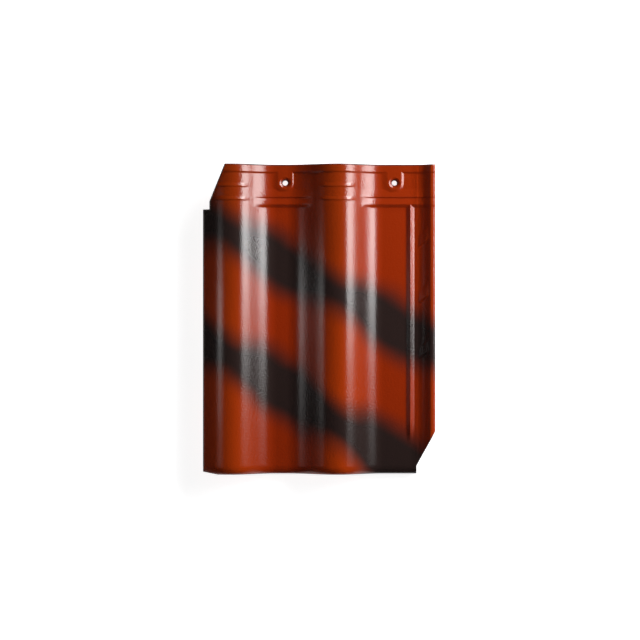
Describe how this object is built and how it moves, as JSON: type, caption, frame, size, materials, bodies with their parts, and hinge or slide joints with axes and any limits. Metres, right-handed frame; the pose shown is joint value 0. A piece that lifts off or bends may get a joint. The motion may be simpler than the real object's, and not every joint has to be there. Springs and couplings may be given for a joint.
{
  "type": "clay roof tile",
  "caption": "Interlocking clay roof tile: glazed rolls and pans, nailed head with weather bars, side underlap with a water ridge, hanging lugs and a rounded tail rim beneath.",
  "frame": {"origin": "middle of the tile's box, on the ground that it lies on", "axes": "+X across the tile from the covering lip to the underlap, +Y from the tail to the head, +Z out of the glazed face"},
  "size_m": [0.3, 0.4, 0.0455],
  "materials": {
    "glaze": "glossy red-brown glaze with sprayed black bands over fired clay"
  },
  "bodies": {
    "root": {"roof_tile": "glaze"}
  },
  "joints": []
}
